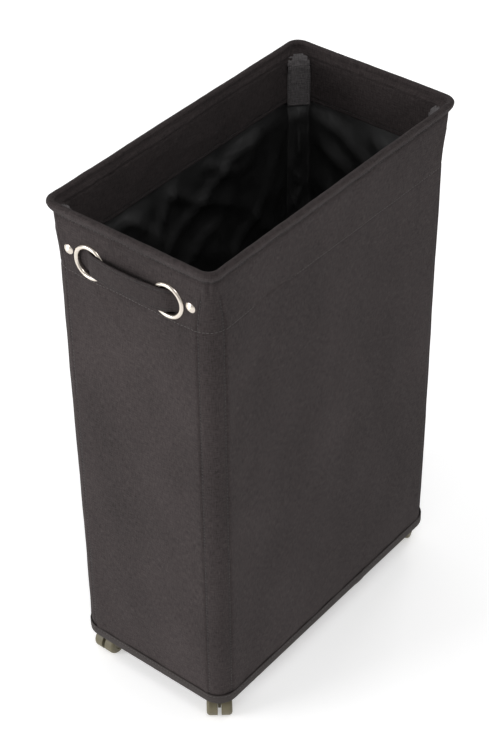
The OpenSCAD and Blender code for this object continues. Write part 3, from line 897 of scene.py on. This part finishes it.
# %% [markdown]
# ## Corner tabs
# Over the pocket of each post lies a tab that keeps the post in. It is a strip of the outer cloth with
# its edges folded in and stitched, sewn along its top and closed below with a hook and loop patch. A
# strip is one grid, bent and pressed by a small function, and a Solidify modifier gives it its two
# layers. All the strips are made in a corner frame whose X axis runs out along the diagonal.

# %% Grid strip helper and the places of the tabs
CORNER_XY = {"front_left": (-1, -1), "front_right": (1, -1), "back_left": (-1, 1), "back_right": (1, 1)}


def corner_frame(corner):
    sx, sy = CORNER_XY[corner]
    base = Matrix.Translation((sx * (half_w - corner_r), sy * (half_d - corner_r), 0))
    return base @ Matrix.Rotation(math.atan2(sy, sx), 4, "Z")


def strip(name, frame_at, width, low, high, cell, shape, material, thickness, body):
    """A cloth strip in the YZ plane of frame_at. shape(y, z) gives its X, and may give a new y and z."""
    cols, rows = max(2, round(width / cell)), max(2, round((high - low) / cell))
    bm = bmesh.new()
    bmesh.ops.create_grid(bm, x_segments=cols, y_segments=rows, size=0.5)
    uv = bm.loops.layers.uv.new("cloth")
    for face in bm.faces:
        for l in face.loops:
            l[uv].uv = (l.vert.co.x * width, l.vert.co.y * (high - low))
    for v in bm.verts:
        y, z = v.co.x * width, low + (v.co.y + 0.5) * (high - low)
        v.co = frame_at @ Vector(shape(y, z))
    bmesh.ops.recalc_face_normals(bm, faces=bm.faces)
    inward = frame_at.to_3x3() @ Vector((-1, 0, 0))
    if sum(f.normal.dot(inward) for f in bm.faces) < 0:
        bmesh.ops.reverse_faces(bm, faces=bm.faces)
    obj = new_object(name, bm, material, body)
    solid = obj.modifiers.new("layers", "SOLIDIFY")
    solid.thickness = thickness
    solid.offset = -1
    return obj


def diagonal_range(node, corner):
    """Nearest and farthest distance of a corner's CAD piece from its arc centre, along the diagonal."""
    back = corner_frame(corner).inverted()
    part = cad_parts[node]
    xs = [(back @ (part.matrix_world @ v.co)).x for v in part.data.vertices]
    return min(xs), max(xs)


bpy.context.view_layer.update()
tab_near, tab_far = diagonal_range("tab_back_left", "back_left")
tab_low, tab_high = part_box("tab_back_left")[0][2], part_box("tab_back_left")[1][2]
tab_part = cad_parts["tab_back_left"]
tab_w = 2 * max(abs((corner_frame("back_left").inverted() @ (tab_part.matrix_world @ v.co)).y)
                for v in tab_part.data.vertices)
patch_low, patch_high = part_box("hook_patch_back_left")[0][2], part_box("hook_patch_back_left")[1][2]
patch_w = tab_w - 5 * MM
print("tabs from", round(tab_low, 4), "to", round(tab_high, 4), "m, width", round(tab_w, 4), "m")


def tab_shape(y, z):
    """Folded borders stand a little proud, the rows of stitches are pressed in, the top is pinched."""
    side = tab_w / 2 - abs(y)
    end = min(side, z - tab_low)
    x = tab_near + 0.25 * MM
    x -= 0.35 * MM * fade(end, 3.6 * MM, 3.0 * MM)
    x += 0.45 * MM * bump(end - 2.9 * MM, 0.5 * MM) + 0.3 * MM * fade(end, 0.7 * MM, 0.0)
    up = fade(z, tab_high - 12 * MM, tab_high)
    x += 0.5 * MM * up * waver(y * 240, z * 160, 0) - 0.3 * MM * up
    x += 0.3 * MM * waver(y * 70, z * 55, 4.0)
    return (x, y * (1 - 0.05 * up), z)


# %% [markdown]
# The sewn top of each tab rises from its hinge line into the hem's seam. There the doubled cloth is
# forced into a peaked fold, so the root piece is a bulging gable with crumples, not a flat block. It
# leans out as it rises, because the hem's corner lies farther out than the post's.

# %% Tabs, their roots and their patches
facing_c = tab_far + 2.0 * MM
root_low, root_high = tab_high + 0.35 * MM, z_hem_seam + 2.5 * MM


def root_shape(corner):
    shift = 3.0 * CORNER_NAMES.index(corner)

    def shape(y, z):
        t = (z - root_low) / (root_high - root_low)
        half = tab_w / 2 * (1 - 0.1 * t)
        edge = 1 - min(abs(y) / half, 1.0)
        peak = fade(edge + 0.5 * (1 - t), 0.05, 0.9)
        x = facing_c - 0.2 * MM - (facing_c - tab_near - 0.3 * MM) * peak * (1 - 0.85 * t)
        gable = bump(t - 0.25 - 0.6 * edge, 0.16)
        x += 5.5 * MM * t * t - 1.1 * MM * gable * fade(t, 0.0, 0.3)
        x += 1.5 * MM * (crease(y * 150 + shift, z * 150 + y * 60, shift) - 0.35) * 4 * t * (1 - t)
        return (x, y * (1 - 0.1 * t), z)
    return shape


def patch_shape(x_face, fuzz, seed):
    def shape(y, z):
        return (x_face + fuzz * waver(y * 900, z * 900, seed), y, z)
    return shape


for corner in CORNER_NAMES:
    at = corner_frame(corner)
    tab = strip("tab_cloth_" + corner, at, tab_w, tab_low, tab_high, 0.75 * MM, tab_shape, tab_finish,
                1.2 * MM, "tab_" + corner)
    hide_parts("tab_" + corner)
    hooks = strip("hook_pad_" + corner, at, patch_w, patch_low, patch_high, 0.75 * MM,
                  patch_shape(tab_far, 0.18 * MM, 1.5), hook_finish, 0.7 * MM, "tab_" + corner)
    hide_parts("hook_patch_" + corner)
    root = strip("tab_root_fold_" + corner, at, tab_w, root_low, root_high, 0.8 * MM, root_shape(corner),
                 tab_finish, 1.0 * MM, "bag")
    loops = strip("loop_pad_" + corner, at, patch_w, patch_low, patch_high, 0.75 * MM,
                  patch_shape(tab_far + 1.25 * MM, 0.2 * MM, 7.5), loop_finish, 1.0 * MM, "bag")
    if corner == "front_left":
        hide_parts("tab_roots")
        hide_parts("loop_patches")
print("tabs done")

# %% [markdown]
# ## Strap handles
# Each handle is one flat strap. Its ends go in through the eyelets and back along the inside of the
# cloth to the rivets. The strap is swept with a rounded flat section along its path. It is made in two
# halves that meet in the middle.

# %% Strap path and section
z_strap = (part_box("handle_grip_front")[0][2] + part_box("handle_grip_front")[1][2]) / 2
strap_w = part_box("handle_grip_front")[1][2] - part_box("handle_grip_front")[0][2]
strap_out = -half_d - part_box("handle_grip_front")[0][1]
strap_t = 2.0 * MM
STRAP_ROWS = 64
STRAP_SEAM = 10.2 * MM
STRAP_STITCHES = 27
FIRST_STITCH_ROW, ROWS_PER_STITCH = 0.7, 1.42
mid = strap_out - strap_t / 2
DROPS = [(0, 0), (12, 0.15), (22, 0.6), (30, 1.35), (37, 2.1), (42.5, 3.1), (46.5, 4.6), (49.5, 6.4),
         (52.5, 8.1)]
STRAP_PATH = [(x, mid - drop * MM) for x, drop in DROPS]
STRAP_PATH += [(x, -depth * MM) for x, depth in ((57, 3.2), (64, 3.3), (74, 3.3), (82, 3.3))]


def smooth_path(points, count):
    """Evenly spaced points on a rounded path (Catmull-Rom) through the given ones."""
    pts = [Vector((x * MM, y, 0)) for x, y in points]
    pts = [Vector((-pts[1].x, pts[1].y, 0))] + pts + [pts[-1] + (pts[-1] - pts[-2])]
    dense = []
    for i in range(1, len(pts) - 2):
        a, b, c, d = pts[i - 1:i + 3]
        for s in range(20):
            t = s / 20
            dense.append(0.5 * ((2 * b) + (c - a) * t + (2 * a - 5 * b + 4 * c - d) * t * t
                                + (3 * b - a - 3 * c + d) * t ** 3))
    dense.append(pts[-2])
    lengths = [0.0]
    for p, q in zip(dense, dense[1:]):
        lengths.append(lengths[-1] + (q - p).length)
    out, k = [], 0
    for i in range(count):
        want = lengths[-1] * i / (count - 1)
        while k < len(lengths) - 2 and lengths[k + 1] < want:
            k += 1
        out.append(dense[k].lerp(dense[k + 1], (want - lengths[k]) / (lengths[k + 1] - lengths[k])))
    return out, lengths[-1]


strap_line, strap_half_l = smooth_path(STRAP_PATH, STRAP_ROWS)
h, t = strap_w / 2, strap_t / 2
SECTION = [(-h, 0), (-h + 0.3 * MM, t * 0.8), (-h + 1.1 * MM, t)]
SECTION += [(z * MM, t) for z in (-11, -10.2, -9.4, -6, -3, 0, 3, 6, 9.4, 10.2, 11)]
SECTION += [(h - 1.1 * MM, t), (h - 0.3 * MM, t * 0.8), (h, 0), (h - 0.3 * MM, -t * 0.8), (h - 1.1 * MM, -t)]
SECTION += [(z * MM, -t) for z in (8, 4, 0, -4, -8)] + [(-h + 1.1 * MM, -t), (-h + 0.3 * MM, -t * 0.8)]
print("half strap", round(strap_half_l, 3), "m long")


def strap_frame(j):
    """Centre, direction and outward normal of the strap at row j, in the plane of its bend."""
    p = strap_line[j]
    a, b = strap_line[max(j - 1, 0)], strap_line[min(j + 1, len(strap_line) - 1)]
    d = (b - a).normalized() if j else Vector((1, 0, 0))
    return p, d, Vector((-d.y, d.x, 0))


def strap_point(end, side, j, z, off):
    p, d, n = strap_frame(j)
    edge = fade(p.x, 44 * MM, 53 * MM) * fade(p.x, 70 * MM, 58 * MM)
    z_in = z * (1 - 0.06 * edge)
    cup = 0.7 * MM * edge * (z / h) ** 2
    wave = 0.25 * MM * waver(p.x * 60 * side, z * 45, end * 3.0)
    q = p + n * (off - cup + wave)
    return Vector((side * q.x, end * (half_d + q.y), z_strap + z_in))


def strap_half(end, side):
    def place(i, j):
        z, off = SECTION[i]
        pressed = 0.3 * MM * bump(abs(z) - STRAP_SEAM, 0.6 * MM) * (1 if off > 0 else 0)
        return strap_point(end, side, j, z, off - pressed)

    def uv_at(i, j):
        z, off = SECTION[i % len(SECTION)]
        return (z + (0.04 if off < 0 else 0), side * strap_half_l * j / (STRAP_ROWS - 1))
    return sweep(len(SECTION), STRAP_ROWS, place, uv_at, cap=True)


# %% [markdown]
# ## Stitches
# A stitch is a short, fat loop of thread pressed into the cloth. Each one is a small sphere with few
# faces, stretched along the seam and sunk to half its height. A seam is a function that gives a point
# and a normal for a distance along it, so the stitches sit on the real relief of the cloth.

# %% Stitch helper


def stitch(bm, a, b, normal, width=0.42 * MM):
    """One stitch from a to b, half sunk into the cloth."""
    along = (b - a).normalized()
    across = normal.cross(along).normalized()
    up = along.cross(across)
    turn = Matrix((along, across, up)).transposed().to_4x4()
    grow = Matrix.Diagonal(((b - a).length / 2, width, width * 0.8, 1))
    where = Matrix.Translation((a + b) / 2 + up * width * 0.15)
    bmesh.ops.create_uvsphere(bm, u_segments=6, v_segments=4, radius=1, matrix=where @ turn @ grow
                              @ Matrix.Rotation(math.pi / 2, 4, "Y"))


def seam(name, length, at, thread=dark_thread, pitch=4.0 * MM, stitch_l=2.9 * MM, start=0.0):
    """A row of stitches as one piece. at(s) gives the point and the normal at distance s."""
    bm = bmesh.new()
    count = int(length / pitch)
    for i in range(count):
        s = start + (i + 0.5) * pitch
        (a, n), (b, m) = at(s - stitch_l / 2), at(s + stitch_l / 2)
        stitch(bm, a, b, (n + m).normalized())
    new_object(name, bm, thread, "bag")
    return count


def wall_at(u, z):
    """A point just above the outer cloth, and its outward direction."""
    p, n = outline(u, 0, 0.2, sharp_at(z))
    return p + n * (wall_relief(u, z) + 0.1 * MM) + Vector((0, 0, z)), n


# %% Rows of stitches on the cover, the lining and the binding
made = 0


def hem_seam_at(u):
    p, n = outline(u, 1.2 * MM, 0.2, sharp_at(z_hem_seam))
    relief = wall_relief(u, z_hem_seam) * fade(z_hem_seam, z_rim + 2 * MM, z_rim - 11 * MM)
    return p + n * (relief + 0.3 * MM) + Vector((0, 0, z_hem_seam + rim_wave(u, z_hem_seam))), n


def inner_seam_at(z, inset, lift):
    def at(u):
        p, n = outline(u, inset, POST_FLAT)
        kind, k, f = where_on_outline(u)
        if kind == "corner":
            n = outline(corner_starts[k] + arc_l / 2)[1]
        return p - n * (facing_relief(u, z) + lift) + Vector((0, 0, z)), -n
    return at


def tape_seam_at(u):
    p, n = outline(u, -0.45 * tape_t - 0.15 * MM, 0)
    lap = 0.55 * MM * fade(apart(u, lap_at), 7 * MM, 6 * MM)
    rise = 0.5 * MM * waver(u * 12, 7.0, 0) * 0.52
    return p + n * (lap + 0.1 * MM) + Vector((0, 0, z_binding - 2.4 * MM + rise)), n


facing_seam_at = inner_seam_at(z_inner_edge + 2.8 * MM, inside_in - 0.7 * MM, 0.15 * MM)
for name, at, thread in (("stitches_hem", hem_seam_at, dark_thread),
                         ("stitches_facing_outside", lambda u: wall_at(u, z_facing_seam), pale_thread),
                         ("stitches_facing_inside", facing_seam_at, dark_thread),
                         ("stitches_binding", tape_seam_at, pale_thread)):
    made += seam(name, perimeter, at, thread)
seam_names = [corner + end for end in ("_a", "_b")
              for corner in ("front_right", "back_right", "back_left", "front_left")]
for name, u in zip(seam_names, strip_seams):
    made += seam("stitches_corner_" + name, z_rim - 28 * MM - z_binding, lambda z: wall_at(u, z),
                 start=z_binding + 1 * MM)


def lining_seam(u):
    p, n = outline(u, lining_in, LINING_FLAT)

    def at(z):
        return p - n * (lining_relief(u, z) + 0.35 * MM) + Vector((0, 0, z)), -n
    return at


for name, u in zip(seam_names, post_seams):
    made += seam("stitches_channel_" + name, z_inner_edge - 12 * MM - z_floor, lining_seam(u),
                 pitch=5 * MM, start=z_floor + 6 * MM)
print("stitches on cover, lining and binding:", made)

# %% [markdown]
# The tabs carry two rows of stitches along their borders, and one row across above the patch. They ride
# with the tab, so they lift with it.

# %% Stitches on the tabs
for corner in CORNER_NAMES:
    at = corner_frame(corner)
    inward = at.to_3x3() @ Vector((-1, 0, 0))
    bm = bmesh.new()
    for inset in (1.1 * MM, 2.9 * MM):
        y0, z0, z1 = tab_w / 2 - inset, tab_low + inset, tab_high - 3 * MM
        lines = [((-y0, z1), (-y0, z0)), ((-y0, z0), (y0, z0)), ((y0, z0), (y0, z1))]
        if inset > 2 * MM:
            box_top = patch_high + 1 * MM
            lines += [((-y0, box_top), (y0, box_top))]
        for (ya, za), (yb, zb) in lines:
            length = math.hypot(yb - ya, zb - za)
            count = max(1, round(length / (2.8 * MM)))
            for i in range(count):
                pts = []
                for s in (i + 0.14, i + 0.86):
                    y, z = ya + (yb - ya) * s / count, za + (zb - za) * s / count
                    x, y2, z2 = tab_shape(y, z)
                    pts.append(at @ Vector((x - 0.12 * MM, y2, z2)))
                stitch(bm, pts[0], pts[1], inward, 0.3 * MM)
    new_object("stitches_tab_" + corner, bm, dark_thread, "tab_" + corner)
print("stitches on the tabs done")

# %% [markdown]
# A strap's two rows of stitches are faces of the strap's own mesh with a second material.

# %% Straps with their stitches
for end, end_name in ((-1, "front"), (1, "back")):
    for side, side_name in ((-1, "left"), (1, "right")):
        bm = strap_half(end, side)
        for edge in (-1, 1):
            z = edge * STRAP_SEAM
            for i in range(STRAP_STITCHES):
                j0 = FIRST_STITCH_ROW + i * ROWS_PER_STITCH
                pts = []
                for s in (j0, j0 + 1.0):
                    j = int(s)
                    p = strap_point(end, side, j, z, t - 0.12 * MM)
                    q = strap_point(end, side, j + 1, z, t - 0.12 * MM)
                    pts.append(p.lerp(q, s - j))
                p, d, n = strap_frame(int(j0))
                normal = Vector((side * n.x, end * n.y, 0))
                before = len(bm.faces)
                stitch(bm, pts[0], pts[1], normal, 0.38 * MM)
                bm.faces.ensure_lookup_table()
                for face in bm.faces[before:]:
                    face.material_index = 1
        name = "strap_" + end_name + "_" + side_name
        strap = new_object(name, bm, strap_finish, None)
        strap.data.materials.append(dark_thread)
        y = end * half_d
        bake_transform(strap)
        if side < 0:
            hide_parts("handle_grip_" + end_name, "handle_tails_" + end_name)
print("straps done")
